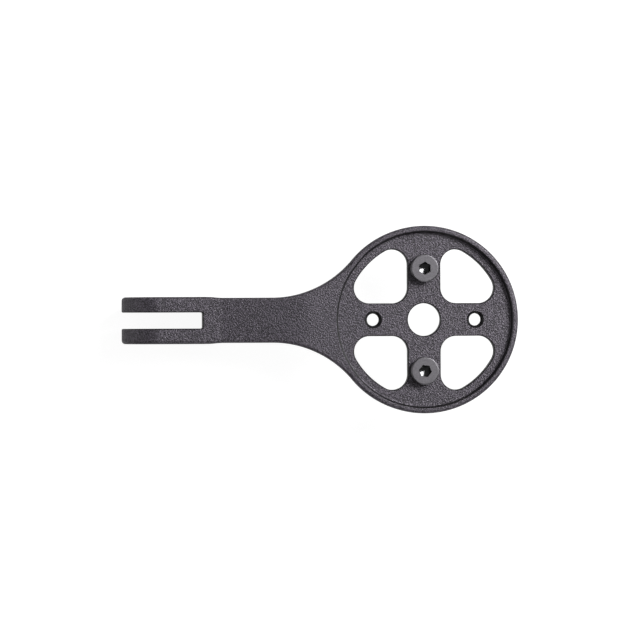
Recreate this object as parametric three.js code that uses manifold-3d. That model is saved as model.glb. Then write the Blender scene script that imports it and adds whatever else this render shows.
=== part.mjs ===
// Out-front computer mount arm: a two-prong fork, a slim arm and a round windowed seat, all one
// machined body, with two low-head screws in the seat's tapped holes.
// Millimetres, +Z up. The fork points to -X, the seat is at +X, and the fork stands on z = 0.
import * as THREE from "three";
import { mergeVertices } from "three/addons/utils/BufferGeometryUtils.js";
import Module from "manifold-3d";

// ---- Driving dimensions ----

// Lengths along the arm, measured from the axis of the seat.
const SEAT_RADIUS = 18.3;
const TIP_X = -59.05;
const SLOT_ROOT_X = -43.15;
const FORK_END_X = -39.4;
const OVERALL_LENGTH = SEAT_RADIUS - TIP_X;
const SEAT_AXIS_X = OVERALL_LENGTH / 2 - SEAT_RADIUS;

// Two-prong fork.
const FORK_HEIGHT = 15;
const FORK_WIDTH = 9.2;
const FORK_EDGE = 0.7;
const SLOT_WIDTH = 3.2;
const SLOT_CORNER = 0.3;
const PIVOT_BORE = 5.2;
const PIVOT_X = TIP_X + FORK_HEIGHT / 2;
const PIVOT_Z = FORK_HEIGHT / 2;

// Arm.
const ARM_WIDTH = 8.8;
const ARM_EDGE = 0.6;
const ARM_ROOT_X = -46;
const ROOT_TAPER = 0.1;
const FLARE_RADIUS = 20.3;
const ARM_TOP_RISE = 1.5;
const ARM_TOP_LEVEL_X = -21.5;
const ARM_TOP_STRAIGHT = 0.8;
const UNDERCUT_START_X = -41.5;
const UNDERCUT_LENGTH = 9;
const UNDERCUT_RISE = 9.4;
const TAPER_START_X = -36;

// Seat.
const SEAT_TOP = FORK_HEIGHT + ARM_TOP_RISE;
const SEAT_THICKNESS = 4.3;
const SEAT_BOTTOM = SEAT_TOP - SEAT_THICKNESS;
const POCKET_RADIUS = 17.1;
const POCKET_DEPTH = 1.3;
const POCKET_EDGE = 0.25;
const FLOOR_Z = SEAT_TOP - POCKET_DEPTH;
const RIM_EDGE = 0.6;
const HUB_BORE = 6.4;
const SPOKE_HALF = 3.2;
const WINDOW_RADIUS = 15.4;
const WINDOW_CORNER = 3;

// Tapped holes and screws, M3 by 5 with a low head.
const HOLE_CIRCLE = 20;
const TAP_BORE = 2.5;
const TAP_CHAMFER = 3.4;
const HEAD_DIAMETER = 5.5;
const HEAD_HEIGHT = 2;
const HEAD_CHAMFER = 0.2;
const HEAD_GAP = 0.02;
const SHANK_DIAMETER = 2.4;
const SHANK_LENGTH = 5;
const SHANK_POINT = 0.3;
const HEAD_UNDER_EDGE = 0.05;
const KEY_WIDTH = 2;
const KEY_DEPTH = 1.4;
const KEY_CONE = 0.35;
const KEY_DRILL = 1.84;
const UPPER_KEY_TURN = 0;
const LOWER_KEY_TURN = THREE.MathUtils.degToRad(22);

// How far a cutting solid runs past the faces it cuts.
const OVERRUN = 2;

const ROUND_STEPS = 80;
const BORE_STEPS = 40;
const DRILL_STEPS = 24;
const EDGE_STEPS = 4;
const ARM_STATIONS = 36;

// ---- Solids from three.js geometry ----

const wasm = await Module();
wasm.setup();

/** A closed geometry as a solid that can be cut and joined. */
function solidOf(geometry) {
  const bare = geometry.clone();
  bare.deleteAttribute("normal");
  bare.deleteAttribute("uv");
  const merged = mergeVertices(bare, 1e-4);
  const mesh = new wasm.Mesh({
    numProp: 3,
    vertProperties: merged.attributes.position.array,
    triVerts: new Uint32Array(merged.index.array),
  });
  return new wasm.Manifold(mesh);
}

/** A solid as a geometry that a mesh can hold. */
function geometryOf(solid) {
  const made = solid.getMesh();
  const geometry = new THREE.BufferGeometry();
  geometry.setAttribute("position", new THREE.BufferAttribute(made.vertProperties, 3));
  geometry.setIndex(new THREE.BufferAttribute(made.triVerts, 1));
  geometry.computeVertexNormals();
  return geometry;
}

/** Points along an arc, from one angle to another in degrees, both ends included. */
function arc(centreX, centreY, radius, fromDegrees, toDegrees, steps) {
  const points = [];
  for (let i = 0; i <= steps; i += 1) {
    const angle = THREE.MathUtils.degToRad(fromDegrees + ((toDegrees - fromDegrees) * i) / steps);
    points.push(
      new THREE.Vector2(centreX + radius * Math.cos(angle), centreY + radius * Math.sin(angle)),
    );
  }
  return points;
}

/** A plan outline raised from one height to another. */
function upright(points, fromZ, toZ) {
  const geometry = new THREE.ExtrudeGeometry(new THREE.Shape(points), {
    depth: toZ - fromZ,
    bevelEnabled: false,
  });
  geometry.translate(0, 0, fromZ);
  return solidOf(geometry);
}

/** A side outline, in x and z, given a width across the arm and rounded side edges. */
function sideways(points, width, edge) {
  const geometry = new THREE.ExtrudeGeometry(new THREE.Shape(points), {
    depth: width - 2 * edge,
    bevelEnabled: true,
    bevelThickness: edge,
    bevelSize: edge,
    bevelOffset: -edge,
    bevelSegments: EDGE_STEPS,
  });
  geometry.rotateX(Math.PI / 2);
  geometry.translate(0, width / 2 - edge, 0);
  return solidOf(geometry);
}

/** A profile of radius and height, given from the bottom to the top, turned about an upright axis. */
function turned(profile, steps, x = 0, y = 0) {
  const geometry = new THREE.LatheGeometry(
    profile.map(([radius, height]) => new THREE.Vector2(radius, height)),
    steps,
  );
  geometry.rotateX(Math.PI / 2);
  geometry.translate(x, y, 0);
  return solidOf(geometry);
}

// ---- Body ----

/** Smooth step from 0 to 1. */
function ease(share) {
  const t = THREE.MathUtils.clamp(share, 0, 1);
  return t * t * (3 - 2 * t);
}

/** Height of the arm's top: level over the fork, an even slope, then eased level at the seat. */
function armTop(x) {
  const t = Math.min((x - FORK_END_X) / (ARM_TOP_LEVEL_X - FORK_END_X), 1);
  const slope = 2 / (1 + ARM_TOP_STRAIGHT);
  if (t < ARM_TOP_STRAIGHT) {
    return FORK_HEIGHT + ARM_TOP_RISE * slope * t;
  }
  const bend = slope / (2 * (1 - ARM_TOP_STRAIGHT));
  return SEAT_TOP - ARM_TOP_RISE * bend * (1 - t) ** 2;
}

/** Height of the arm's underside: it sweeps up behind the fork and meets the seat's underside. */
function armBottom(x) {
  const sweep = UNDERCUT_RISE * ease((x - UNDERCUT_START_X) / UNDERCUT_LENGTH);
  const taper = ease((x - TAPER_START_X) / (flareEnd().x - TAPER_START_X));
  const insideFork = ROOT_TAPER * Math.max(UNDERCUT_START_X - x, 0);
  return sweep + (SEAT_BOTTOM - UNDERCUT_RISE) * taper + insideFork;
}

/** Centre of the flare's arc on one side: it touches the arm's side and the seat's outline. */
function flareCentre() {
  const y = ARM_WIDTH / 2 + FLARE_RADIUS;
  const reach = SEAT_RADIUS + FLARE_RADIUS;
  return { x: -Math.sqrt(reach * reach - y * y), y };
}

/** Where the flare runs into the seat's outline. */
function flareEnd() {
  const centre = flareCentre();
  const share = SEAT_RADIUS / (SEAT_RADIUS + FLARE_RADIUS);
  return { x: centre.x * share, y: centre.y * share };
}

/** Half the arm's width: even along the arm, then flaring out to the seat. */
function armHalfWidth(x) {
  const centre = flareCentre();
  const along = Math.max(x - centre.x, 0);
  return centre.y - Math.sqrt(FLARE_RADIUS * FLARE_RADIUS - along * along);
}

/** One point of a rectangle with rounded corners, counted round its outline. */
function roundedPoint(index, halfWidth, bottom, top, edge) {
  const corner = Math.floor(index / (EDGE_STEPS + 1)) % 4;
  const turn = (index % (EDGE_STEPS + 1)) / EDGE_STEPS;
  const angle = ((corner + turn) * Math.PI) / 2;
  const side = corner === 0 || corner === 3 ? 1 : -1;
  const level = corner < 2 ? top - edge : bottom + edge;
  return [side * (halfWidth - edge) + edge * Math.cos(angle), level + edge * Math.sin(angle)];
}

/** Arm and flare, as a tube whose rounded-rectangle section changes along its length. */
function armSolid() {
  const around = 4 * (EDGE_STEPS + 1);
  const geometry = new THREE.CylinderGeometry(1, 1, 1, around, ARM_STATIONS);
  const position = geometry.attributes.position;
  const end = flareEnd().x;
  for (let i = 0; i < position.count; i += 1) {
    const share = position.getY(i) + 0.5;
    const x = THREE.MathUtils.lerp(ARM_ROOT_X, end, share);
    const onAxis = Math.hypot(position.getX(i), position.getZ(i)) < 0.5;
    const bottom = armBottom(x);
    const top = armTop(x);
    const turn = Math.atan2(position.getX(i), position.getZ(i)) / (2 * Math.PI);
    const index = (Math.round(turn * around) + around) % around;
    const [y, z] = onAxis
      ? [0, (bottom + top) / 2]
      : roundedPoint(index, armHalfWidth(x), bottom, top, ARM_EDGE);
    position.setXYZ(i, x, y, z);
  }
  return solidOf(geometry);
}

/** Fork block with its round end, still without the slot. */
function forkSolid() {
  const radius = FORK_HEIGHT / 2;
  const outline = [
    ...arc(PIVOT_X, PIVOT_Z, radius, 90, 270, 28),
    new THREE.Vector2(UNDERCUT_START_X, 0),
    new THREE.Vector2(FORK_END_X, FORK_HEIGHT),
  ];
  return sideways(outline, FORK_WIDTH, FORK_EDGE);
}

/** Round seat as a plain disc with rounded edges. */
function seatSolid() {
  const lower = arc(SEAT_RADIUS - RIM_EDGE, SEAT_BOTTOM + RIM_EDGE, RIM_EDGE, -90, 0, EDGE_STEPS);
  const upper = arc(SEAT_RADIUS - RIM_EDGE, SEAT_TOP - RIM_EDGE, RIM_EDGE, 0, 90, EDGE_STEPS);
  const profile = [[0, SEAT_BOTTOM], ...[...lower, ...upper].map((p) => [p.x, p.y]), [0, SEAT_TOP]];
  return turned(profile, ROUND_STEPS);
}

/** The round pocket in the seat, with a small break at its upper edge. */
function pocketCut() {
  const profile = [
    [0, FLOOR_Z],
    [POCKET_RADIUS, FLOOR_Z],
    [POCKET_RADIUS, SEAT_TOP - POCKET_EDGE],
    [POCKET_RADIUS + POCKET_EDGE + OVERRUN, SEAT_TOP + OVERRUN],
    [0, SEAT_TOP + OVERRUN],
  ];
  return turned(profile, ROUND_STEPS);
}

/** One of the four windows: a quarter of a disc with three rounded corners. */
function windowCut(quarter) {
  const inner = SPOKE_HALF + WINDOW_CORNER;
  const outer = Math.sqrt((WINDOW_RADIUS - WINDOW_CORNER) ** 2 - inner ** 2);
  const lean = THREE.MathUtils.radToDeg(Math.atan2(inner, outer));
  const outline = [
    ...arc(inner, inner, WINDOW_CORNER, 180, 270, 6),
    ...arc(outer, inner, WINDOW_CORNER, -90, lean, 8),
    ...arc(0, 0, WINDOW_RADIUS, lean, 90 - lean, 6).slice(1, -1),
    ...arc(inner, outer, WINDOW_CORNER, 90 - lean, 180, 8),
  ];
  const middle = new THREE.Vector2(0, 0);
  const turnedOutline = outline.map((p) => p.clone().rotateAround(middle, (quarter * Math.PI) / 2));
  return upright(turnedOutline, SEAT_BOTTOM - OVERRUN, SEAT_TOP + OVERRUN);
}

/** A straight bore through the seat. */
function seatBore(diameter) {
  const radius = diameter / 2;
  return turned(
    [
      [0, SEAT_BOTTOM - OVERRUN],
      [radius, SEAT_BOTTOM - OVERRUN],
      [radius, SEAT_TOP + OVERRUN],
      [0, SEAT_TOP + OVERRUN],
    ],
    BORE_STEPS,
  );
}

/** A tapped hole drawn at its tapping size, with a chamfer at both ends. */
function tappedHole(x, y) {
  const bore = TAP_BORE / 2;
  const mouth = TAP_CHAMFER / 2;
  const depth = mouth - bore;
  const profile = [
    [0, SEAT_BOTTOM - OVERRUN],
    [mouth + OVERRUN, SEAT_BOTTOM - OVERRUN],
    [bore, SEAT_BOTTOM + depth],
    [bore, FLOOR_Z - depth],
    [mouth + OVERRUN, FLOOR_Z + OVERRUN],
    [0, FLOOR_Z + OVERRUN],
  ];
  return turned(profile, BORE_STEPS, x, y);
}

/** The slot between the prongs, open at the tip, with small corners at its root. */
function slotCut() {
  const half = SLOT_WIDTH / 2;
  const cornerX = SLOT_ROOT_X - SLOT_CORNER;
  const outline = [
    new THREE.Vector2(TIP_X - OVERRUN, -half),
    ...arc(cornerX, -half + SLOT_CORNER, SLOT_CORNER, -90, 0, 3),
    ...arc(cornerX, half - SLOT_CORNER, SLOT_CORNER, 0, 90, 3),
    new THREE.Vector2(TIP_X - OVERRUN, half),
  ];
  return upright(outline, -OVERRUN, FORK_HEIGHT + OVERRUN);
}

/** The pivot bolt's bore through both prongs. */
function pivotCut() {
  const geometry = new THREE.CylinderGeometry(
    PIVOT_BORE / 2,
    PIVOT_BORE / 2,
    FORK_WIDTH + OVERRUN,
    BORE_STEPS,
  );
  geometry.translate(PIVOT_X, 0, PIVOT_Z);
  return solidOf(geometry);
}

/** Places of the four tapped holes, in order: right, upper, left, lower. */
function holePlaces() {
  return arc(0, 0, HOLE_CIRCLE / 2, 0, 270, 3);
}

/** The whole machined body. */
function bodySolid() {
  const cuts = [pocketCut(), seatBore(HUB_BORE), slotCut(), pivotCut()];
  for (let quarter = 0; quarter < 4; quarter += 1) {
    cuts.push(windowCut(quarter));
  }
  for (const place of holePlaces()) {
    cuts.push(tappedHole(place.x, place.y));
  }
  let body = wasm.Manifold.union([seatSolid(), armSolid(), forkSolid()]);
  for (const cut of cuts) {
    body = body.subtract(cut);
  }
  return body;
}

// ---- Screws ----

/** Head and shank of a screw, drawn with its thread at root diameter. */
function screwBlank() {
  const head = HEAD_DIAMETER / 2;
  const shank = SHANK_DIAMETER / 2;
  const profile = [
    [0, -SHANK_LENGTH],
    [shank - SHANK_POINT, -SHANK_LENGTH],
    [shank, -SHANK_LENGTH + SHANK_POINT],
    [shank, 0],
    [head - HEAD_UNDER_EDGE, 0],
    [head, HEAD_UNDER_EDGE],
    [head, HEAD_HEIGHT - HEAD_CHAMFER],
    [head - HEAD_CHAMFER, HEAD_HEIGHT],
    [0, HEAD_HEIGHT],
  ];
  return turned(profile, BORE_STEPS);
}

/** The hexagon for the key, two of its corners along Y, with the drill's cone below it. */
function keyCut() {
  const corner = KEY_WIDTH / Math.sqrt(3);
  const floor = HEAD_HEIGHT - KEY_DEPTH;
  const hexagon = new THREE.CylinderGeometry(corner, corner, KEY_DEPTH + 1, 6);
  hexagon.rotateX(Math.PI / 2);
  hexagon.translate(0, 0, floor + (KEY_DEPTH + 1) / 2);
  const cone = turned(
    [
      [0, floor - KEY_CONE],
      [KEY_DRILL / 2, floor],
      [KEY_DRILL / 2, floor + 0.5],
      [0, floor + 0.5],
    ],
    DRILL_STEPS,
  );
  return solidOf(hexagon).add(cone);
}

/** One screw about its own axis, with the underside of its head at z = 0. */
function screwSolid() {
  return screwBlank().subtract(keyCut());
}

// ---- Materials ----

/** Bead-blasted black anodising on aluminium. */
function anodised() {
  return new THREE.MeshStandardMaterial({ color: 0x3a383d, roughness: 0.62, metalness: 0.55 });
}

/** Blackened steel. */
function blackenedSteel() {
  return new THREE.MeshStandardMaterial({ color: 0x6f6d72, roughness: 0.45, metalness: 0.8 });
}

// ---- Assembly ----

/** A named piece made of one solid. */
function piece(name, solid, material) {
  const mesh = new THREE.Mesh(geometryOf(solid), material);
  mesh.name = name;
  return mesh;
}

/** A named screw, seated over its hole with its key turned. */
function seatedScrew(name, hole, keyTurn) {
  const screw = piece(name, screwSolid(), blackenedSteel());
  screw.position.set(hole.x, hole.y, FLOOR_Z + HEAD_GAP);
  screw.rotation.z = keyTurn;
  return screw;
}

const [, upperHole, , lowerHole] = holePlaces();

// Everything is placed from the seat's axis, and this group brings the arm's middle to x = 0.
const arm = new THREE.Group();
arm.position.x = SEAT_AXIS_X;
arm.add(piece("mount_body", bodySolid(), anodised()));
arm.add(seatedScrew("screw_upper", upperHole, UPPER_KEY_TURN));
arm.add(seatedScrew("screw_lower", lowerHole, LOWER_KEY_TURN));

const mount = new THREE.Group();
mount.name = "out_front_mount";
mount.add(arm);

export default mount;
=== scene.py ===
"""Out-front computer mount arm: the machined body, its two screws and a plain studio.

Every mesh is machined in millimetres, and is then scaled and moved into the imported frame's metres. The
body is drawn about the seat's axis, with z = 0 under the fork, and each screw about its own axis.
"""

from __future__ import annotations

import logging
import math
from collections.abc import Callable, Iterable
from dataclasses import dataclass, field
from enum import Enum

import bmesh
import bpy
from mathutils import Matrix, Vector

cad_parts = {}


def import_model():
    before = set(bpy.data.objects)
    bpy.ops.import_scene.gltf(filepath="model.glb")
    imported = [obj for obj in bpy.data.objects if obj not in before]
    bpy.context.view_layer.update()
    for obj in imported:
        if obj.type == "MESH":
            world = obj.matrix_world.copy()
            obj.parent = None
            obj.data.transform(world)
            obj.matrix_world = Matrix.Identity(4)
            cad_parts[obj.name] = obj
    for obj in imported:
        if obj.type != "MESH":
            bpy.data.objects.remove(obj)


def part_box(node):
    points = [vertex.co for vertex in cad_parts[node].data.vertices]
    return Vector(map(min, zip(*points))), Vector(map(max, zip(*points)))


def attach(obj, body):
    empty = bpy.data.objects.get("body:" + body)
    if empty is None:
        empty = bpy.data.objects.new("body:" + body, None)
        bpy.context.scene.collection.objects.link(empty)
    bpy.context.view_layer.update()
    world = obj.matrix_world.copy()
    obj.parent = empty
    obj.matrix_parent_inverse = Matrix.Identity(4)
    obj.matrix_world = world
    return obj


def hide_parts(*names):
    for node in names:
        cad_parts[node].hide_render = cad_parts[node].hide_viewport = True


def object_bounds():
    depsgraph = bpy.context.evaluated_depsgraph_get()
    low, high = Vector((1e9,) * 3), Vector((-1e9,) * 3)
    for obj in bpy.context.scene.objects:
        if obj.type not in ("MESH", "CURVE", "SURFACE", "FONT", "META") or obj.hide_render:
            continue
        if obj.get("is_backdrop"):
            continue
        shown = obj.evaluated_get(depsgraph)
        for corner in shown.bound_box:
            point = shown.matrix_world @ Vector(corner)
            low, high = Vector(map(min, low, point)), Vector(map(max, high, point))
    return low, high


MM = 0.001
LOG = logging.getLogger("mount_arm")

Ring = list[Vector]
PlanPoint = tuple[float, float]
Span = tuple[float, float]
Colour = tuple[float, float, float]
Socket = bpy.types.NodeSocket
EdgePoint = tuple[Vector, Vector, Vector]

WHITE: Colour = (1.0, 1.0, 1.0)


class Machining(Enum):
    """What a second workpiece does to the first."""

    JOIN = "UNION"
    CUT = "DIFFERENCE"


class KeyTurn(Enum):
    """How far each screw's hexagon is turned, in degrees, when its head is seated."""

    CORNERS_ACROSS_ARM = 0.0
    CORNERS_NEARLY_ALONG_ARM = 22.0


# ---- Outlines and workpieces ----


def arc_points(centre: PlanPoint, radius: float, start: float, end: float, steps: int) -> list[PlanPoint]:
    """Lays points along an arc.

    Args:
        centre: Middle of the arc.
        radius: Radius of the arc.
        start: First angle, in degrees.
        end: Last angle, in degrees.
        steps: Number of chords.

    Returns:
        The points, with both ends included.
    """
    angles = [math.radians(start + (end - start) * step / steps) for step in range(steps + 1)]
    return [(centre[0] + radius * math.cos(a), centre[1] + radius * math.sin(a)) for a in angles]


def circle(radius: float, steps: int, start: float = 0.0) -> list[PlanPoint]:
    """Points round a circle about the origin, without the repeated last one."""
    return arc_points((0, 0), radius, start, start + 360, steps)[:-1]


def laid_flat(outline: Iterable[PlanPoint], height: float) -> Ring:
    """An outline laid flat at one height."""
    return [Vector((x, y, height)) for x, y in outline]


def ease(share: float) -> float:
    """Smooth step from 0 to 1.

    Args:
        share: How far along, where 0 and below is the start and 1 and above the end.

    Returns:
        The eased share.
    """
    t = min(max(share, 0.0), 1.0)
    return t * t * (3 - 2 * t)


class Workpiece:
    """A closed mesh in millimetres that other workpieces are joined to or cut out of."""

    merge_reach: float = 2e-4
    degenerate_reach: float = 1e-4
    normal_weight: int = 80

    def __init__(self, name: str, rings: list[Ring], looped: bool = False) -> None:
        """Skins a row of rings, each with the same number of points.

        Args:
            name: Name of the object.
            rings: The rings, in order along the piece.
            looped: Whether the last ring joins the first. Otherwise both ends are capped.
        """
        around = len(rings[0])
        faces: list[tuple[int, ...]] = []
        for row in range(len(rings) if looped else len(rings) - 1):
            low, high = row * around, (row + 1) % len(rings) * around
            for step in range(around):
                after = (step + 1) % around
                faces.append((low + step, low + after, high + after, high + step))
        if not looped:
            last = (len(rings) - 1) * around
            faces += [tuple(range(around)), tuple(range(last, last + around))]
        mesh = bpy.data.meshes.new(name)
        mesh.from_pydata([point for ring in rings for point in ring], [], faces)
        self.object = bpy.data.objects.new(name, mesh)
        bpy.context.scene.collection.objects.link(self.object)
        self._edit(lambda shape: bmesh.ops.recalc_face_normals(shape, faces=shape.faces))

    @classmethod
    def turned(cls, name: str, profile: Iterable[PlanPoint], steps: int) -> Workpiece:
        """Turns a profile about the z axis.

        Args:
            name: Name of the object.
            profile: Radii and heights, along the piece.
            steps: Number of chords in each ring.

        Returns:
            The turned workpiece, with flat ends.
        """
        return cls(name, [laid_flat(circle(radius, steps), height) for radius, height in profile])

    def machine(self, tool: Workpiece, machining: Machining) -> None:
        """Joins or cuts with another workpiece, and uses that one up.

        Args:
            tool: The other workpiece.
            machining: What it does.
        """
        step = self.object.modifiers.new(machining.name.lower(), "BOOLEAN")
        step.operation = machining.value
        step.solver = "EXACT"
        step.object = tool.object
        graph = bpy.context.evaluated_depsgraph_get()
        made = bpy.data.meshes.new_from_object(self.object.evaluated_get(graph), depsgraph=graph)
        self.object.modifiers.clear()
        used_up = (self.object.data, tool.object.data)
        self.object.data = made
        bpy.data.objects.remove(tool.object)
        for mesh in used_up:
            bpy.data.meshes.remove(mesh)

    def finished(self, place: Vector, smooth_under: float = 34.0) -> bpy.types.Object:
        """Scales the workpiece to metres, puts it in the frame and shades it.

        Args:
            place: Where the workpiece's own origin goes, in metres.
            smooth_under: Edges that turn by less than this many degrees are shaded smooth.

        Returns:
            The finished object, at the frame's origin with its place in its mesh.
        """
        merge, thin = self.merge_reach, self.degenerate_reach
        self._edit(lambda shape: bmesh.ops.remove_doubles(shape, verts=shape.verts, dist=merge))
        self._edit(lambda shape: bmesh.ops.dissolve_degenerate(shape, edges=shape.edges, dist=thin))
        mesh = self.object.data
        mesh.transform(Matrix.Translation(place) @ Matrix.Scale(MM, 4))
        mesh.shade_smooth()
        mesh.set_sharp_from_angle(angle=math.radians(smooth_under))
        weigh = self.object.modifiers.new("face_weighted_normals", "WEIGHTED_NORMAL")
        weigh.keep_sharp = True
        weigh.weight = self.normal_weight
        return self.object

    def _edit(self, change: Callable[[bmesh.types.BMesh], object]) -> None:
        """Applies one mesh operation.

        Args:
            change: The operation, called with the mesh.
        """
        shape = bmesh.new()
        shape.from_mesh(self.object.data)
        change(shape)
        shape.to_mesh(self.object.data)
        shape.free()


# ---- Threads ----


@dataclass(frozen=True)
class Thread:
    """An M3 coarse thread, in phase with every other thread cut about the same height."""

    pitch: float = 0.5
    steps_round: int = 40
    steps_per_turn: int = 8
    flat_share: float = 0.16

    def height_share(self, turn: float, height: float) -> float:
        """How deep the groove of an inner thread is at one place.

        Args:
            turn: Angle about the axis, as a share of a full turn.
            height: Height above the start of the thread.

        Returns:
            0 on the inner crest and 1 at the bottom of the groove.
        """
        phase = (height / self.pitch - turn) % 1.0
        ramp = abs(2 * phase - 1)
        return min(max((ramp - self.flat_share) / (1 - 2 * self.flat_share), 0.0), 1.0)

    def rings(
        self,
        centre: PlanPoint,
        heights: Span,
        datum: float,
        radius_at: Callable[[float, float], float],
    ) -> list[Ring]:
        """Lays rings along a threaded length.

        Args:
            centre: Where the axis stands.
            heights: Lowest and highest ring.
            datum: Height from which the thread's phase is counted.
            radius_at: Gives a radius from the groove's share and the height.

        Returns:
            The rings, from the lowest to the highest.
        """
        low, high = heights
        rows = max(2, round((high - low) / self.pitch * self.steps_per_turn))
        rings: list[Ring] = []
        for row in range(rows + 1):
            z = low + (high - low) * row / rows
            ring: Ring = []
            for step in range(self.steps_round):
                turn = step / self.steps_round
                radius = radius_at(self.height_share(turn, z - datum), z)
                angle = 2 * math.pi * turn
                x = centre[0] + radius * math.cos(angle)
                y = centre[1] + radius * math.sin(angle)
                ring.append(Vector((x, y, z)))
            rings.append(ring)
        return rings


# ---- Finishes ----


class ShaderSketch:
    """A material's node tree, with its Principled shader at the end."""

    octave_share: float = 0.55
    edge_samples: int = 6
    edge_lean: Span = (0.8, 0.985)

    def __init__(self, name: str) -> None:
        """Starts an empty tree with a shader and an output.

        Args:
            name: Name of the material.
        """
        self.material = bpy.data.materials.new(name)
        self.material.use_nodes = True
        self.tree = self.material.node_tree
        self.tree.nodes.clear()
        self.shader = self.tree.nodes.new("ShaderNodeBsdfPrincipled")
        output = self.tree.nodes.new("ShaderNodeOutputMaterial")
        self.tree.links.new(self.shader.outputs["BSDF"], output.inputs["Surface"])
        self.place = self.tree.nodes.new("ShaderNodeTexCoord").outputs["Object"]

    def grain(self, size: float, octaves: float) -> Socket:
        """Adds a noise of one grain size.

        Args:
            size: Size of a grain, in metres.
            octaves: How many finer octaves it has.

        Returns:
            The noise, from 0 to 1.
        """
        noise = self.tree.nodes.new("ShaderNodeTexNoise")
        noise.inputs["Scale"].default_value = 1 / size
        noise.inputs["Detail"].default_value = octaves
        noise.inputs["Roughness"].default_value = self.octave_share
        self.tree.links.new(self.place, noise.inputs["Vector"])
        return noise.outputs["Fac"]

    def spread(
        self, source: Socket, low: float, high: float, start: float = 0.3, end: float = 0.7
    ) -> Socket:
        """Maps the middle of a noise onto a range.

        Args:
            source: The noise.
            low: Value given at and below start.
            high: Value given at and above end.
            start: Source value that becomes low.
            end: Source value that becomes high.

        Returns:
            The mapped value.
        """
        ranged = self.tree.nodes.new("ShaderNodeMapRange")
        for name, value in (("From Min", start), ("From Max", end), ("To Min", low), ("To Max", high)):
            ranged.inputs[name].default_value = value
        self.tree.links.new(source, ranged.inputs["Value"])
        return ranged.outputs["Result"]

    def sum(self, first: Socket, second: Socket) -> Socket:
        """Adds two values."""
        return self._math("ADD", first, second)

    def product(self, first: Socket, second: Socket) -> Socket:
        """Multiplies two values."""
        return self._math("MULTIPLY", first, second)

    def _math(self, operation: str, first: Socket, second: Socket) -> Socket:
        """Joins two values by one operation.

        Args:
            operation: The math node's name for it.
            first: The first value.
            second: The second value.

        Returns:
            The result.
        """
        node = self.tree.nodes.new("ShaderNodeMath")
        node.operation = operation
        self.tree.links.new(first, node.inputs[0])
        self.tree.links.new(second, node.inputs[1])
        return node.outputs["Value"]

    def edges(self, radius: float) -> Socket:
        """Finds convex and concave edges by how far a rounded normal leans from the true one.

        Args:
            radius: Reach of the rounding, in metres.

        Returns:
            0 on open faces, rising towards 1 at an edge.
        """
        rounded = self.tree.nodes.new("ShaderNodeBevel")
        rounded.samples = self.edge_samples
        rounded.inputs["Radius"].default_value = radius
        true = self.tree.nodes.new("ShaderNodeNewGeometry")
        lean = self.tree.nodes.new("ShaderNodeVectorMath")
        lean.operation = "DOT_PRODUCT"
        self.tree.links.new(rounded.outputs["Normal"], lean.inputs[0])
        self.tree.links.new(true.outputs["Normal"], lean.inputs[1])
        return self.spread(lean.outputs["Value"], 1.0, 0.0, *self.edge_lean)

    def blend(self, share: Socket, first: Colour | Socket, second: Colour) -> Socket:
        """Mixes two colours.

        Args:
            share: 0 for the first colour and 1 for the second.
            first: A colour, or a socket that gives one.
            second: A colour.

        Returns:
            The mixed colour.
        """
        mix = self.tree.nodes.new("ShaderNodeMix")
        mix.data_type = "RGBA"
        self.tree.links.new(share, mix.inputs["Factor"])
        if isinstance(first, tuple):
            mix.inputs["A"].default_value = (*first, 1.0)
        else:
            self.tree.links.new(first, mix.inputs["A"])
        mix.inputs["B"].default_value = (*second, 1.0)
        return mix.outputs["Result"]

    def bump(self, height: Socket, depth: float, strength: float) -> None:
        """Raises the surface by a height pattern.

        Args:
            height: The pattern, from 0 to 1.
            depth: Full height of the pattern, in metres.
            strength: How much of it is used.
        """
        bump = self.tree.nodes.new("ShaderNodeBump")
        bump.inputs["Distance"].default_value = depth
        bump.inputs["Strength"].default_value = strength
        self.tree.links.new(height, bump.inputs["Height"])
        self.tree.links.new(bump.outputs["Normal"], self.shader.inputs["Normal"])

    def feed(self, socket: str, source: Socket) -> None:
        """Links a pattern to one of the shader's sockets."""
        self.tree.links.new(source, self.shader.inputs[socket])


@dataclass(frozen=True)
class BlastedAnodising:
    """Black dyed oxide on bead-blasted aluminium: a fine peened grain with a faint violet cast."""

    name: str = "blasted_black_anodising"
    deep: Colour = (0.0015, 0.0012, 0.0018)
    lit: Colour = (0.0680, 0.0590, 0.0750)
    # Lighter edge colour: partly edge wear, partly a painted highlight for the bright grazing reflection on
    # rounded edges and the fork's tips.
    wear_and_highlight_colour: Colour = (0.100, 0.090, 0.104)
    peen_size: float = 0.27 * MM
    cloud_size: float = 3.0 * MM
    peen_depth: float = 0.19 * MM
    contrast: Span = (0.465, 0.555)
    sheen: Colour = (0.965, 0.91, 1.0)
    roughness: Span = (0.56, 0.34)
    specular: float = 0.82
    grain_share: float = 0.85
    octaves: float = 2.0
    cloud_octaves: float = 3.0
    bump_strength: float = 0.7
    wear_and_highlight_reach: float = 0.16 * MM
    wear_and_highlight_share: Span = (0.2, 0.35)

    def make(self) -> bpy.types.Material:
        """Builds the material.

        Returns:
            The finished material.
        """
        sketch = ShaderSketch(self.name)
        peen = sketch.grain(self.peen_size, self.octaves)
        cloud = sketch.grain(self.cloud_size, self.cloud_octaves)
        speckle = sketch.spread(peen, 0.0, self.grain_share, *self.contrast)
        tone = sketch.sum(speckle, sketch.spread(cloud, 0.0, 1 - self.grain_share))
        colour = sketch.blend(tone, self.deep, self.lit)
        # Painted highlight and wear: convex and concave edges are lightened, patchily along the cloud.
        wear_and_highlight_share = sketch.product(sketch.edges(self.wear_and_highlight_reach), sketch.spread(cloud, *self.wear_and_highlight_share))
        sketch.feed("Base Color", sketch.blend(wear_and_highlight_share, colour, self.wear_and_highlight_colour))
        sketch.feed("Roughness", sketch.spread(peen, *self.roughness))
        sketch.bump(peen, self.peen_depth, self.bump_strength)
        sketch.shader.inputs["Specular IOR Level"].default_value = self.specular
        sketch.shader.inputs["Specular Tint"].default_value = (*self.sheen, 1.0)
        return sketch.material


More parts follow.
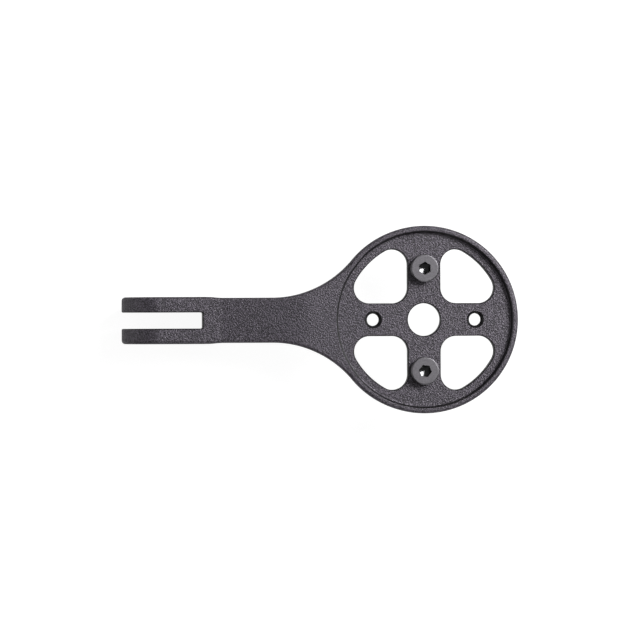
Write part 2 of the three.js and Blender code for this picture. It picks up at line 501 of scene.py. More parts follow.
@dataclass(frozen=True)
class GrainedFinish:
    """A finish with one fine grain in its colour, its gloss and its relief.

    A pair of numbers holds what the grain's low and high values become.
    """

    name: str
    deep: Colour
    lit: Colour
    grain_size: float
    grain_depth: float
    octaves: float
    roughness: Span
    bump_strength: float
    metallic: float
    specular: float = 0.5
    wear_and_highlight_colour: Colour | None = None
    wear_and_highlight_reach: float = 0.08 * MM
    wear_and_highlight_share: Span = (0.0, 1.0)

    def make(self) -> bpy.types.Material:
        """Builds the material, with lighter edges where it has a colour for them.

        Returns:
            The finished material.
        """
        sketch = ShaderSketch(self.name)
        grain = sketch.grain(self.grain_size, self.octaves)
        colour = sketch.blend(sketch.spread(grain, 0.0, 1.0), self.deep, self.lit)
        if self.wear_and_highlight_colour is not None:
            wear_and_highlight_share = sketch.product(sketch.edges(self.wear_and_highlight_reach), sketch.spread(grain, *self.wear_and_highlight_share))
            colour = sketch.blend(wear_and_highlight_share, colour, self.wear_and_highlight_colour)
        sketch.feed("Base Color", colour)
        sketch.feed("Roughness", sketch.spread(grain, *self.roughness))
        sketch.bump(grain, self.grain_depth, self.bump_strength)
        sketch.shader.inputs["Metallic"].default_value = self.metallic
        sketch.shader.inputs["Specular IOR Level"].default_value = self.specular
        return sketch.material


@dataclass(frozen=True)
class CutAnodisingPaintedShade(GrainedFinish):
    """The same oxide on the walls of cuts, where the blast hardly reached: smoother, and darkened as
    painted shade inside the cuts.
    """

    name: str = "cut_anodising_painted_shade"
    deep: Colour = (0.0030, 0.0028, 0.0034)
    lit: Colour = (0.0110, 0.0100, 0.0120)
    wear_and_highlight_colour: Colour | None = (0.030, 0.028, 0.031)
    grain_size: float = 0.30 * MM
    grain_depth: float = 0.010 * MM
    octaves: float = 2.0
    roughness: Span = (0.38, 0.50)
    bump_strength: float = 0.6
    metallic: float = 0.0
    specular: float = 0.4
    wear_and_highlight_share: Span = (0.0, 0.4)


@dataclass(frozen=True)
class BlackenedSteel(GrainedFinish):
    """Phosphated screw steel: an even satin grey with a very fine grain."""

    name: str = "blackened_steel"
    deep: Colour = (0.135, 0.130, 0.140)
    lit: Colour = (0.195, 0.187, 0.202)
    wear_and_highlight_colour: Colour | None = (0.270, 0.262, 0.272)
    grain_size: float = 0.16 * MM
    grain_depth: float = 0.004 * MM
    octaves: float = 3.0
    roughness: Span = (0.40, 0.52)
    bump_strength: float = 0.6
    metallic: float = 1.0
    wear_and_highlight_share: Span = (0.2, 0.7)


@dataclass(frozen=True)
class SocketSteelPaintedShade(GrainedFinish):
    """Darker steel inside a key socket, as painted shade in the socket, and smooth enough to catch the key
    light.
    """

    name: str = "socket_steel_painted_shade"
    deep: Colour = (0.085, 0.085, 0.087)
    lit: Colour = (0.125, 0.125, 0.128)
    grain_size: float = 0.20 * MM
    grain_depth: float = 0.0003 * MM
    octaves: float = 2.0
    roughness: Span = (0.14, 0.22)
    bump_strength: float = 0.5
    metallic: float = 1.0


@dataclass(frozen=True)
class FrostedSheet:
    """A white frosted sheet, lit from inside so that shadows on it stay faint."""

    name: str
    glow: float
    light: Colour = (0.20, 0.20, 0.20)
    dark: Colour = (0.18, 0.18, 0.18)
    cloud_size: float = 40 * MM
    octaves: float = 2.0
    roughness: float = 0.9

    def make(self) -> bpy.types.Material:
        """Builds the material.

        Returns:
            The finished material.
        """
        sketch = ShaderSketch(self.name)
        cloud = sketch.grain(self.cloud_size, self.octaves)
        sketch.feed("Base Color", sketch.blend(cloud, self.dark, self.light))
        sketch.shader.inputs["Roughness"].default_value = self.roughness
        sketch.shader.inputs["Emission Color"].default_value = (*WHITE, 1.0)
        sketch.shader.inputs["Emission Strength"].default_value = self.glow
        return sketch.material


# ---- The machined body ----


@dataclass
class Arm:
    """The slim arm with its flare, as a bar whose rounded section changes along its length."""

    half_width: float = 4.4
    edge: float = 0.6
    root_swell: float = 0.19
    swell_start_x: float = -42.3
    swell_length: float = 3.0
    root_x: float = -46.0
    root_taper: float = 0.1
    top_start_x: float = -39.4
    top_level_x: float = -21.5
    top_straight: float = 0.8
    top_rise: float = 1.5
    undercut_x: float = -41.5
    undercut_length: float = 9.0
    undercut_rise: float = 9.4
    taper_x: float = -36.0
    flare_radius: float = 20.3
    flare_share: float = 0.985
    under_fork_top: float = 0.004
    stations: int = 150
    edge_steps: int = 7

    def flare_centre(self, seat_radius: float) -> PlanPoint:
        """Centre of the arc that touches the arm's side and the seat's outline."""
        y = self.half_width + self.flare_radius
        return (-math.sqrt((seat_radius + self.flare_radius) ** 2 - y * y), y)

    def top(self, x: float, fork_height: float) -> float:
        """Height of the arm's top.

        Args:
            x: Place along the arm.
            fork_height: Height of the fork's level top.

        Returns:
            The height: level over the fork, an even slope, then eased level at the seat.
        """
        t = min(max((x - self.top_start_x) / (self.top_level_x - self.top_start_x), 0.0), 1.0)
        slope = 2 / (1 + self.top_straight)
        if t < self.top_straight:
            return fork_height + self.top_rise * slope * t
        bend = slope / (2 * (1 - self.top_straight))
        return fork_height + self.top_rise * (1 - bend * (1 - t) ** 2)

    def bottom(self, x: float, seat_bottom: float, end_x: float) -> float:
        """Height of the arm's underside.

        Args:
            x: Place along the arm.
            seat_bottom: Height of the seat's underside.
            end_x: Where the arm's underside meets the seat's.

        Returns:
            The height: tucked up inside the fork, swept up behind it, then level with the seat's.
        """
        sweep = self.undercut_rise * ease((x - self.undercut_x) / self.undercut_length)
        taper = ease((x - self.taper_x) / (end_x - self.taper_x))
        tuck = self.root_taper * max(self.undercut_x - x, 0.0)
        return sweep + (seat_bottom - self.undercut_rise) * taper + tuck

    def inside_fork(self, x: float) -> float:
        """How far one place belongs to the fork, from 1 in it to 0 past the arm's swollen root."""
        return 1 - ease((x - self.swell_start_x) / self.swell_length)

    def section(self, x: float, half_width: float, low: float, high: float) -> Ring:
        """Draws one rounded-rectangle section across the arm.

        Args:
            x: Place along the arm.
            half_width: Half of the arm's width there.
            low: Height of the underside.
            high: Height of the top.

        Returns:
            The section's points, once round.
        """
        edge = self.edge
        corners = ((1, high - edge), (-1, high - edge), (-1, low + edge), (1, low + edge))
        ring: Ring = []
        for quarter, (side, level) in enumerate(corners):
            middle = (side * (half_width - edge), level)
            for y, z in arc_points(middle, edge, quarter * 90, quarter * 90 + 90, self.edge_steps):
                ring.append(Vector((x, y, z)))
        return ring

    def build(self, seat: Seat, fork: Fork) -> Workpiece:
        """Skins the arm from inside the fork to inside the seat.

        Args:
            seat: Gives the seat's radius and heights.
            fork: Gives the fork's height.

        Returns:
            The arm.
        """
        centre = self.flare_centre(seat.radius)
        end_x = centre[0] * seat.radius / (seat.radius + self.flare_radius)
        reach = self.root_x + (end_x - self.root_x) * self.flare_share
        rings: list[Ring] = []
        for station in range(self.stations + 1):
            x = self.root_x + (reach - self.root_x) * station / self.stations
            along = max(x - centre[0], 0.0)
            inside = self.inside_fork(x)
            half_width = centre[1] - math.sqrt(self.flare_radius**2 - along**2) + self.root_swell * inside
            low = self.bottom(x, seat.bottom, end_x)
            high = self.top(x, fork.height) - self.under_fork_top * inside
            rings.append(self.section(x, half_width, low, high))
        return Workpiece("arm", rings)


@dataclass
class Fork:
    """The two-prong fork: a block with a round end, a slot between its prongs and a pivot bore."""

    height: float = 15.0
    width: float = 9.2
    edge: float = 0.7
    tip_x: float = -59.05
    end_x: float = -42.0
    undercut_x: float = -41.5
    slot_width: float = 3.2
    slot_root_x: float = -43.15
    slot_corner: float = 0.3
    slot_break: float = 0.16
    bore_radius: float = 2.6
    bore_chamfer: float = 0.3
    over: float = 2.0
    round_steps: int = 72
    edge_steps: int = 8
    corner_steps: int = 6
    bore_steps: int = 96

    @property
    def pivot(self) -> PlanPoint:
        """Place of the pivot, in x and z."""
        return (self.tip_x + self.height / 2, self.height / 2)

    def outline(self, inset: float) -> list[PlanPoint]:
        """The fork's side outline, moved in by some distance."""
        round_end = arc_points(self.pivot, self.height / 2 - inset, 90, 270, self.round_steps)
        return [*round_end, (self.undercut_x - inset, inset), (self.end_x - inset, self.height - inset)]

    def block(self) -> Workpiece:
        """Skins the block across the arm, with rounded side edges.

        Returns:
            The block, with no slot or bore yet.
        """
        half = self.width / 2
        rounding = arc_points((half - self.edge, 0), self.edge, 0, 90, self.edge_steps)
        levels = [(y, self.edge - inward) for y, inward in rounding]
        sections = [(-y, inset) for y, inset in levels] + [(y, inset) for y, inset in reversed(levels)]
        rings = [[Vector((x, y, z)) for x, z in self.outline(inset)] for y, inset in sections]
        return Workpiece("fork", rings)

    def slot(self) -> Workpiece:
        """Draws the slot between the prongs, with small corners at its root.

        Returns:
            The slot's tool, which stands out past the block above, below and at the tip.
        """
        half, corner, over = self.slot_width / 2, self.slot_corner, self.over
        middle_x = self.slot_root_x - corner
        plan = [
            (self.tip_x - over, -half),
            *arc_points((middle_x, corner - half), corner, -90, 0, self.corner_steps),
            *arc_points((middle_x, half - corner), corner, 0, 90, self.corner_steps),
            (self.tip_x - over, half),
        ]
        return Workpiece("slot", [laid_flat(plan, z) for z in (-over, self.height + over)])

    def slot_edge_path(self) -> list[EdgePoint]:
        """Follows the slot's sharp edge once round.

        Returns:
            Each point with the fork's outward normal and the slot wall's outward normal.
        """
        half, corner = self.slot_width / 2, self.slot_corner
        up, across = Vector((0, 0, 1)), Vector((0, 1, 0))
        pivot_x, pivot_z = self.pivot
        turn_x = self.slot_root_x - corner
        root_to_side: list[EdgePoint] = []
        for step in range(self.corner_steps + 1):
            angle = math.radians(90 * step / self.corner_steps)
            wall = Vector((-math.cos(angle), -math.sin(angle), 0))
            spot = Vector((turn_x, half - corner, self.height)) - wall * corner
            root_to_side.append((spot, up, wall))
        loop = list(root_to_side)
        for step in range(1, self.round_steps):
            angle = math.radians(90 + 180 * step / self.round_steps)
            out = Vector((math.cos(angle), 0, math.sin(angle)))
            spot = Vector((pivot_x, half, pivot_z)) + out * (self.height / 2)
            loop.append((spot, out, -across))
        flip = Matrix.Diagonal((1, 1, -1))
        rise = Vector((0, 0, self.height))
        loop += [(flip @ p + rise, flip @ n, w) for p, n, w in root_to_side[::-1]]
        mirror = Matrix.Diagonal((1, -1, 1))
        loop += [(mirror @ p, mirror @ n, mirror @ w) for p, n, w in loop[::-1]]
        return loop

    def slot_break_tool(self) -> Workpiece:
        """Sweeps a thin diamond bar round the slot's edge, which leaves a small chamfer.

        Returns:
            The bar, joined end to end.
        """
        reach = self.slot_break
        rings = [
            [spot + out * reach, spot + wall * reach, spot - out * reach, spot - wall * reach]
            for spot, out, wall in self.slot_edge_path()
        ]
        return Workpiece("slot_break", rings, looped=True)

    def bore(self) -> Workpiece:
        """Draws the pivot bore across both prongs, with a chamfer at each outer face.

        Returns:
            The bore's tool, which widens past the outer faces.
        """
        radius, outer = self.bore_radius, self.width / 2 + self.over
        flare = radius + self.bore_chamfer + self.over
        inner = self.width / 2 - self.bore_chamfer
        pivot_x, pivot_z = self.pivot
        rings = [
            [Vector((pivot_x + x, y, pivot_z + z)) for x, z in circle(reach, self.bore_steps)]
            for reach, y in ((flare, -outer), (radius, -inner), (radius, inner), (flare, outer))
        ]
        return Workpiece("pivot_bore", rings)


@dataclass
class Seat:
    """The round seat: a rim and floor with four windows, a hub bore and four tapped holes."""

    radius: float = 18.3
    top: float = 16.5
    thickness: float = 4.3
    edge: float = 0.6
    crest_drop: float = 0.02
    pocket_radius: float = 17.1
    pocket_depth: float = 1.3
    floor_fillet: float = 0.35
    crest_inner: float = 0.5
    crest_inner_at_arm: float = 0.2
    arm_half_angle: float = 38.0
    blend_angle: float = 14.0
    hub_radius: float = 3.2
    hub_break: float = 0.18
    spoke_half: float = 3.2
    window_radius: float = 15.4
    window_corner: float = 3.0
    window_break: float = 0.17
    hole_circle: float = 20.0
    hole_radius: float = 1.2
    groove_depth: float = 0.32
    hole_chamfer: float = 0.5
    over: float = 1.0
    steps: int = 288
    hub_steps: int = 128
    lower_edge_steps: int = 8
    upper_edge_steps: int = 10
    fillet_steps: int = 6
    crest_steps: int = 8
    window_steps: int = 12
    window_corner_steps: int = 16
    thread: Thread = field(default_factory=Thread)

    @property
    def bottom(self) -> float:
        """Height of the underside."""
        return self.top - self.thickness

    @property
    def floor(self) -> float:
        """Height of the pocket's floor."""
        return self.top - self.pocket_depth

    def blank(self) -> Workpiece:
        """Turns the seat's plain disc, with rounded edges.

        Returns:
            The disc, whose top is a hair under the arm's.
        """
        middle, edge = self.radius - self.edge, self.edge
        crest = self.top - self.crest_drop
        lower = arc_points((middle, self.bottom + edge), edge, -90, 0, self.lower_edge_steps)
        upper = arc_points((middle, crest - edge), edge, 0, 90, self.upper_edge_steps)
        return Workpiece.turned("seat", [*lower, *upper], self.steps)

    def inner_crest(self, angle: float) -> float:
        """Works out how round the rim's inner edge is at one angle about the seat.

        Args:
            angle: Angle from the +X side, in degrees.

        Returns:
            The edge's radius: a small break where the arm runs in, and a full rounding elsewhere.
        """
        from_arm = abs((angle % 360) - 180)
        share = ease((from_arm - self.arm_half_angle) / self.blend_angle)
        return self.crest_inner_at_arm + (self.crest_inner - self.crest_inner_at_arm) * share

    def pocket(self) -> Workpiece:
        """The round pocket, with a fillet at its floor and a rounded upper edge."""
        columns = [self._pocket_column(360 * step / self.steps) for step in range(self.steps)]
        return Workpiece("pocket", [list(row) for row in zip(*columns)])

    def _pocket_column(self, angle: float) -> list[Vector]:
        """Draws the pocket's profile at one angle.

        Args:
            angle: Angle from the +X side, in degrees.

        Returns:
            The profile's points, from the floor up.
        """
        crest, fillet, wall = self.inner_crest(angle), self.floor_fillet, self.pocket_radius
        foot = arc_points((wall - fillet, self.floor + fillet), fillet, -90, 0, self.fillet_steps)
        brow = arc_points((wall + crest, self.top - crest), crest, 180, 90, self.crest_steps)
        profile = [*foot, *brow, (wall + crest, self.top + self.over)]
        turn = math.radians(angle)
        return [Vector((r * math.cos(turn), r * math.sin(turn), z)) for r, z in profile]

    def window_outline(self, out: float) -> list[PlanPoint]:
        """The outline of one window, moved out by some distance.

        Args:
            out: How far the outline is moved out.

        Returns:
            A quarter of a disc with three rounded corners.
        """
        near = self.spoke_half + self.window_corner
        far = math.sqrt((self.window_radius - self.window_corner) ** 2 - near**2)
        lean = math.degrees(math.atan2(near, far))
        corner = self.window_corner + out
        return [
            *arc_points((near, near), corner, 180, 270, self.window_steps),
            *arc_points((far, near), corner, -90, lean, self.window_corner_steps),
            *arc_points((0, 0), self.window_radius + out, lean, 90 - lean, self.window_steps)[1:-1],
            *arc_points((near, far), corner, 90 - lean, 180, self.window_corner_steps),
        ]

    def cut_levels(self, edge_break: float) -> list[PlanPoint]:
        """Lists the levels of a cut that goes through the floor and breaks both of its edges.

        Args:
            edge_break: Width of each broken edge.

        Returns:
            Each level's height and how far the cut's outline is moved out there.
        """
        wide = edge_break + self.over
        return [
            (self.bottom - self.over, wide),
            (self.bottom + edge_break, 0.0),
            (self.floor - edge_break, 0.0),
            (self.floor + self.over, wide),
        ]

    def window(self, quarter: int) -> Workpiece:
        """Draws one of the four windows.

        Args:
            quarter: How many quarter turns it stands from the first one.

        Returns:
            The window's tool.
        """
        turn = Matrix.Rotation(math.radians(90 * quarter), 3, "Z")
        rings = [laid_flat(self.window_outline(out), z) for z, out in self.cut_levels(self.window_break)]
        return Workpiece("window", [[turn @ point for point in ring] for ring in rings])

    def hub(self) -> Workpiece:
        """The tool for the bore in the middle of the seat."""
        profile = [(self.hub_radius + out, z) for z, out in self.cut_levels(self.hub_break)]
        return Workpiece.turned("hub_bore", profile, self.hub_steps)

    def hole_places(self) -> list[PlanPoint]:
        """Places of the tapped holes, in order: right, upper, left, lower."""
        return arc_points((0, 0), self.hole_circle / 2, 0, 270, 3)

    def tapped_hole(self, place: PlanPoint) -> Workpiece:
        """Draws a tapped hole with its thread's groove and a chamfer at each end.

        Args:
            place: Where the hole's axis stands.

        Returns:
            The hole's tool.
        """
        mouth = self.hole_radius + self.hole_chamfer

        def radius_at(groove: float, z: float) -> float:
            """The wider of the thread and the two chamfers."""
            chamfer = mouth - min(self.floor - z, z - self.bottom)
            return max(self.hole_radius + self.groove_depth * groove, chamfer)

        heights = (self.bottom - self.over, self.floor + self.over)
        return Workpiece("tapped_hole", self.thread.rings(place, heights, self.floor, radius_at))


@dataclass
class MountBody:
    """The whole machined body, joined from its seat, arm and fork and then cut.

    The numbers whose names end in level_from say how much of a normal has to point straight out of a
    face for the face to keep the blasted finish.
    """

    seat: Seat = field(default_factory=Seat)
    arm: Arm = field(default_factory=Arm)
    fork: Fork = field(default_factory=Fork)
    finish: BlastedAnodising = field(default_factory=BlastedAnodising)
    # The darker second finish paints shade onto the walls of the cuts.
    cut_shade_finish: CutAnodisingPaintedShade = field(default_factory=CutAnodisingPaintedShade)
    slack: float = 0.05
    level_from: float = 0.97
    slot_level_from: float = 0.8
    bore_level_from: float = 0.9
    rim_level_from: float = 0.78

    def build(self, place: Vector) -> bpy.types.Object:
        """Machines the body and dresses it.

        Args:
            place: Where the seat's axis meets z = 0, in metres.

        Returns:
            The finished body.
        """
        work = self.arm.build(self.seat, self.fork)
        work.machine(self.fork.block(), Machining.JOIN)
        work.machine(self.seat.blank(), Machining.JOIN)
        cuts = [self.seat.pocket(), self.seat.hub()]
        cuts += [self.fork.slot(), self.fork.slot_break_tool(), self.fork.bore()]
        cuts += [self.seat.window(quarter) for quarter in range(4)]
        cuts += [self.seat.tapped_hole(spot) for spot in self.seat.hole_places()]
        for cut in cuts:
            work.machine(cut, Machining.CUT)
        body = work.finished(place)
        body.name = "machined_body"
        body.data.materials.clear()
        body.data.materials.append(self.finish.make())
        body.data.materials.append(self.cut_shade_finish.make())
        # Faces in the cuts take the darker second finish, as painted shade.
        for face in body.data.polygons:
            face.material_index = 1 if self.takes_cut_shade((face.center - place) / MM, face.normal) else 0
        return body

    def takes_cut_shade(self, spot: Vector, normal: Vector) -> bool:
        """Tells whether a face is a wall or a broken edge of one of the cuts, which takes the darker finish
        with its painted shade.

        Args:
            spot: Middle of the face, in millimetres from the foot of the seat's axis.
            normal: The face's normal.

        Returns:
            True inside the windows, the hub, the tapped holes, the slot and the pivot bore, on the
            pocket's wall, and on the broken edge where the arm runs into the pocket, where the darker
            finish is a painted shade line along the pocket's edge.
        """
        seat, fork = self.seat, self.fork
        upright = abs(normal.z)
        through_floor = spot.xy.length < seat.window_radius + 2 * seat.window_break
        if through_floor and spot.z < seat.floor + self.slack and upright < self.level_from:
            return True
        beside_slot = abs(spot.y) < fork.slot_width / 2 + fork.slot_break
        before_root = spot.x < fork.slot_root_x + fork.slot_break
        in_slot = beside_slot and before_root and upright < self.slot_level_from
        pivot_x, pivot_z = fork.pivot
        from_pivot = math.hypot(spot.x - pivot_x, spot.z - pivot_z)
        by_bore = from_pivot < fork.bore_radius + fork.bore_chamfer
        in_bore = by_bore and abs(normal.y) < self.bore_level_from
        by_wall = abs(spot.xy.length - seat.pocket_radius) < seat.crest_inner and spot.z > seat.floor
        crest = seat.inner_crest(math.degrees(math.atan2(spot.y, spot.x)))
        # At the arm, nearly every face of the rim's small break takes the darker finish: a painted shade
        # line along the pocket's edge.
        level_from = self.level_from if crest < seat.crest_inner / 2 else self.rim_level_from
        return in_slot or in_bore or (by_wall and upright < level_from)


# ---- Screws ----


@dataclass
class LowHeadScrew:
    """An M3 by 5 socket screw with a low head, drawn about its own axis with its head on z = 0."""

    finish: BlackenedSteel = field(default_factory=BlackenedSteel)
    # The socket's darker steel is painted shade; its gloss catches the key light.
    socket_shade_finish: SocketSteelPaintedShade = field(default_factory=SocketSteelPaintedShade)

    head_radius: float = 2.72
    head_height: float = 2.0
    head_chamfer: float = 0.22
    crown_angles: Span = (10.0, 78.0)
    crown_steps: int = 5
    crown_inset: float = 0.05
    under_edge: float = 0.08
    length: float = 5.0
    root_radius: float = 1.14
    crest_height: float = 0.32
    point: float = 0.4
    point_slope: float = 1.2
    into_head: float = 0.5
    key_sides: int = 6
    key_width: float = 2.1
    key_depth: float = 1.3
    key_mouth: float = 0.08
    over: float = 0.5
    cone_depth: float = 0.44
    cone_tip: float = 0.02
    cone_overlap: float = 0.01
    cone_steps: int = 64
    smooth_under: float = 40.0
    steps: int = 96
    thread: Thread = field(default_factory=Thread)

    @property
    def key_corner(self) -> float:
        """How far the hexagon's corners are from the axis."""
        return self.key_width / math.sqrt(3)

    @property
    def key_floor(self) -> float:
        """Height of the hexagon's floor."""
        return self.head_height - self.key_depth

    def head(self) -> Workpiece:
        """Turns the head, with a rounded crown.

        Returns:
            The head, with no socket yet.
        """
        radius, top = self.head_radius, self.head_height
        chamfer, under = self.head_chamfer, self.under_edge
        crown = arc_points((radius - chamfer, top - chamfer), chamfer, *self.crown_angles, self.crown_steps)
        rim = radius - chamfer - self.crown_inset
        profile = [(radius - under, 0.0), (radius, under), *crown, (rim, top)]
        return Workpiece.turned("screw_head", profile, self.steps)

    def shank(self, datum: float) -> Workpiece:
        """Draws the threaded shank, with a chamfered end.

        Args:
            datum: Height, from the head's underside, at which the thread's phase is counted.

        Returns:
            The shank, which runs a little way up into the head.
        """

        def radius_at(groove: float, z: float) -> float:
            """The thread, cut down at the point."""
            point = self.root_radius - self.point + self.point_slope * (z + self.length)
            return min(self.root_radius + self.crest_height * groove, point)

        heights = (-self.length, self.into_head)
        return Workpiece("screw_shank", self.thread.rings((0, 0), heights, datum, radius_at))

    def socket(self, turn: KeyTurn) -> Workpiece:
        """Draws the hexagon for the key, with a lightly broken mouth.

        Args:
            turn: How the hexagon is turned.

        Returns:
            The hexagon's tool, which widens past the crown.
        """
        corner, top, mouth = self.key_corner, self.head_height, self.key_mouth
        wide = (corner + mouth + self.over, top + self.over)
        profile = ((corner, self.key_floor), (corner, top - mouth), wide)
        rings = [laid_flat(circle(radius, self.key_sides, 90 + turn.value), z) for radius, z in profile]
        return Workpiece("key_socket", rings)

    def drilled_cone(self) -> Workpiece:
        """Turns the drill's cone under the hexagon.

        Returns:
            The cone's tool, as wide as the hexagon's corners.
        """
        corner, floor = self.key_corner, self.key_floor
        tip = (self.cone_tip, floor - self.cone_depth)
        profile = [tip, (corner, floor), (corner, floor + self.cone_overlap)]
        return Workpiece.turned("drilled_cone", profile, self.cone_steps)

    def build(self, name: str, place: Vector, turn: KeyTurn, datum: float) -> bpy.types.Object:
        """Machines a screw and dresses it.

        Args:
            name: Name of the piece.
            place: Where the middle of the head's underside goes, in metres.
            turn: How the key's hexagon is turned.
            datum: Height of the thread's phase, from the head's underside.

        Returns:
            The finished screw.
        """
        work = self.head()
        work.machine(self.shank(datum), Machining.JOIN)
        work.machine(self.socket(turn), Machining.CUT)
        work.machine(self.drilled_cone(), Machining.CUT)
        screw = work.finished(place, self.smooth_under)
        screw.name = name
        screw.data.materials.clear()
        screw.data.materials.append(self.finish.make())
        screw.data.materials.append(self.socket_shade_finish.make())
        self._shade_socket(screw, place)
        return screw

    def _shade_socket(self, screw: bpy.types.Object, place: Vector) -> None:
        """Gives the faces inside the key socket their darker finish, which paints the socket's shade.

        Args:
            screw: The finished screw.
            place: Middle of its head's underside, in metres.
        """
        crown = place.z + (self.head_height - self.key_mouth) * MM
        reach = (self.key_corner + self.key_mouth / 2) * MM
        for face in screw.data.polygons:
            away = (face.center.xy - place.xy).length
            inside = away < reach and place.z < face.center.z < crown
            face.material_index = 1 if inside else 0


# ---- Studio ----


@dataclass(frozen=True)
class SoftBox:
    """A square soft light aimed at the object."""

    name: str
    azimuth: float
    elevation: float
    distance: float
    size: float
    power: float

    def build(self, aim: Vector) -> bpy.types.Object:
        """Sets the light up.

        Args:
            aim: Point that the light faces.

        Returns:
            The light.
        """
        turn, rise = math.radians(self.azimuth), math.radians(self.elevation)
        away = Vector((math.cos(turn) * math.cos(rise), math.sin(turn) * math.cos(rise), math.sin(rise)))
        lamp = bpy.data.lights.new(self.name, "AREA")
        lamp.shape = "SQUARE"
        lamp.size = self.size
        lamp.energy = self.power
        light = bpy.data.objects.new(self.name, lamp)
        light.location = aim + away * self.distance
        light.rotation_euler = away.to_track_quat("Z", "Y").to_euler()
        light.visible_camera = False
        bpy.context.scene.collection.objects.link(light)
        return light


@dataclass
class Studio:
    """A pale glowing floor, a plain white surround and soft boxes, with the key box on the right."""

    floor_half: float = 1.5
    floor_gap: float = 0.03 * MM
    table_glow: float = 0.93
    bounce_glow: float = 0.42
    surround: float = 1.0
    boxes: tuple[SoftBox, ...] = (
        SoftBox("key_box", azimuth=35, elevation=48, distance=0.75, size=0.36, power=7.2),
        SoftBox("top_box", azimuth=12, elevation=84, distance=1.1, size=0.40, power=0.72),
        SoftBox("sky_box", azimuth=0, elevation=85, distance=1.0, size=1.3, power=0.7),
        SoftBox("fork_box", azimuth=180, elevation=13, distance=0.8, size=0.6, power=1.4),
        SoftBox("near_box", azimuth=275, elevation=16, distance=0.8, size=0.6, power=1.6),
        SoftBox("far_box", azimuth=95, elevation=14, distance=0.8, size=0.6, power=1.0),
        SoftBox("seat_box", azimuth=350, elevation=14, distance=0.8, size=0.6, power=0.9),
    )

    def build(self, floor_z: float, aim: Vector) -> None:
        """Lays the floor, lights the surround and sets up the soft boxes.

        The camera sees only the table. The bounce sheet just under it throws light up at the object.

        Args:
            floor_z: Height that the object stands on.
            aim: Point that the lights face.
        """
        table = self._floor("frosted_table", floor_z - self.floor_gap, self.table_glow)
        table.visible_diffuse = table.visible_glossy = False
        bounce = self._floor("bounce_sheet", floor_z - 2 * self.floor_gap, self.bounce_glow)
        bounce.visible_camera = bounce.visible_shadow = False
        self._surround()
        for box in self.boxes:
            box.build(aim)
            LOG.info("light %s", box.name)
        view = bpy.context.scene.view_settings
        view.view_transform = "Standard"
        view.look = "None"
        view.exposure = 0.0

    def _floor(self, name: str, level: float, glow: float) -> bpy.types.Object:
        """Lays one sheet of floor.

        Args:
            name: Name of the sheet.
            level: Its height.
            glow: How brightly it is lit from inside.

        Returns:
            The sheet.
        """
        half = self.floor_half
        spots = [(-half, -half, level), (half, -half, level), (half, half, level), (-half, half, level)]
        mesh = bpy.data.meshes.new(name)
        mesh.from_pydata(spots, [], [(0, 1, 2, 3)])
        mesh.materials.append(FrostedSheet(name, glow).make())
        sheet = bpy.data.objects.new(name, mesh)
        bpy.context.scene.collection.objects.link(sheet)
        sheet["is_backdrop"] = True
        return sheet

    def _surround(self) -> None:
        """Fills the surround with an even white that lights nothing."""
        world = bpy.data.worlds.new("surround")
        bpy.context.scene.world = world
        world.use_nodes = True
        backdrop = world.node_tree.nodes["Background"]
        backdrop.inputs["Color"].default_value = (*WHITE, 1.0)
        backdrop.inputs["Strength"].default_value = self.surround
        world.cycles_visibility.diffuse = False
        world.cycles_visibility.glossy = False


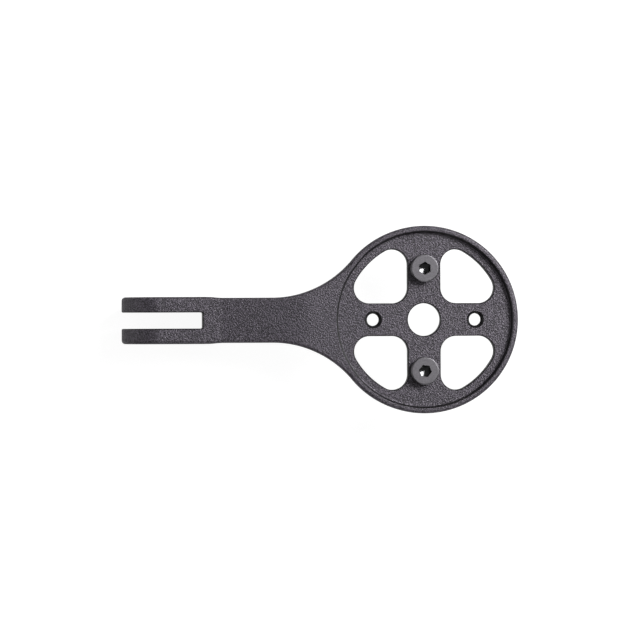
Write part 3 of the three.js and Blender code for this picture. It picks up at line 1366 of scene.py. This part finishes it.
@dataclass(frozen=True)
class LongLens:
    """A camera far above the object, leaning a little towards the fork."""

    lean: float = 3.1
    roll: float = -0.23
    distance: float = 0.65
    view_width: float = 124.4 * MM
    shift_along: float = -0.13 * MM
    sensor: float = 36.0
    clip: Span = (0.05, 20.0)

    def build(self, aim: Vector) -> bpy.types.Object:
        """Places the camera over the middle of the object.

        Args:
            aim: Point under the middle of the view, at the height of the seat's rim.

        Returns:
            The camera.
        """
        lean, roll = math.radians(self.lean), math.radians(self.roll)
        back = Vector((-math.sin(lean), 0, math.cos(lean)))
        right = Vector((math.cos(lean), 0, math.sin(lean)))
        turn = Matrix.Rotation(roll, 3, back)
        axes = Matrix((turn @ right, turn @ Vector((0, 1, 0)), back)).transposed()
        lens = bpy.data.cameras.new("camera")
        lens.sensor_width = self.sensor
        lens.lens = self.sensor * self.distance / self.view_width
        lens.clip_start, lens.clip_end = self.clip
        camera = bpy.data.objects.new("camera", lens)
        target = aim + Vector((self.shift_along, 0, 0))
        camera.matrix_world = Matrix.Translation(target + back * self.distance) @ axes.to_4x4()
        bpy.context.scene.collection.objects.link(camera)
        bpy.context.scene.camera = camera
        return camera


# ---- Assembly ----


def seat_axis() -> Vector:
    """Works out where the seat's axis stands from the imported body.

    Returns:
        The foot of the axis, at the height of the fork's underside.
    """
    low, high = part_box("mount_body")
    return Vector((high.x - (high.y - low.y) / 2, (high.y + low.y) / 2, low.z))


def report(piece: bpy.types.Object) -> None:
    """Logs a finished piece with its face count."""
    LOG.info("built %s with %d faces", piece.name, len(piece.data.polygons))


def build_screws(body: MountBody, foot: Vector) -> None:
    """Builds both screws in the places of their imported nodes.

    Args:
        body: Gives the height of the seat's floor, from which the threads are counted.
        foot: Foot of the seat's axis.
    """
    screws = (
        ("screw_upper", "upper_screw", "upper_low_head_screw", KeyTurn.CORNERS_ACROSS_ARM),
        ("screw_lower", "lower_screw", "lower_low_head_screw", KeyTurn.CORNERS_NEARLY_ALONG_ARM),
    )
    for node, rides_on, name, turn in screws:
        low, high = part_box(node)
        screw = LowHeadScrew()
        under_head = high.z - screw.head_height * MM
        place = Vector(((low.x + high.x) / 2, (low.y + high.y) / 2, under_head))
        datum = body.seat.floor - (under_head - foot.z) / MM
        piece = screw.build(name, place, turn, datum)
        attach(piece, rides_on)
        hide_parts(node)
        report(piece)


def build_body(body: MountBody, foot: Vector) -> None:
    """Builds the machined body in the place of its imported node.

    Args:
        body: The body's sizes.
        foot: Foot of the seat's axis.
    """
    piece = body.build(foot)
    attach(piece, "mount")
    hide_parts("mount_body")
    report(piece)


def corners(box: tuple[Vector, Vector]) -> list[list[float]]:
    """A box's two corners as plain lists."""
    return [[float(value) for value in corner] for corner in box]


def main() -> None:
    """Loads the frame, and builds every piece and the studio."""
    logging.basicConfig(level=logging.INFO, format="%(name)s: %(message)s")
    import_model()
    packed_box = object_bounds()
    low, high = packed_box
    LongLens().build(Vector(((low.x + high.x) / 2, 0, high.z)))
    foot = seat_axis()
    body = MountBody()
    build_body(body, foot)
    build_screws(body, foot)
    Studio().build(low.z, Vector((foot.x, 0, low.z)))


if __name__ == "__main__":
    main()
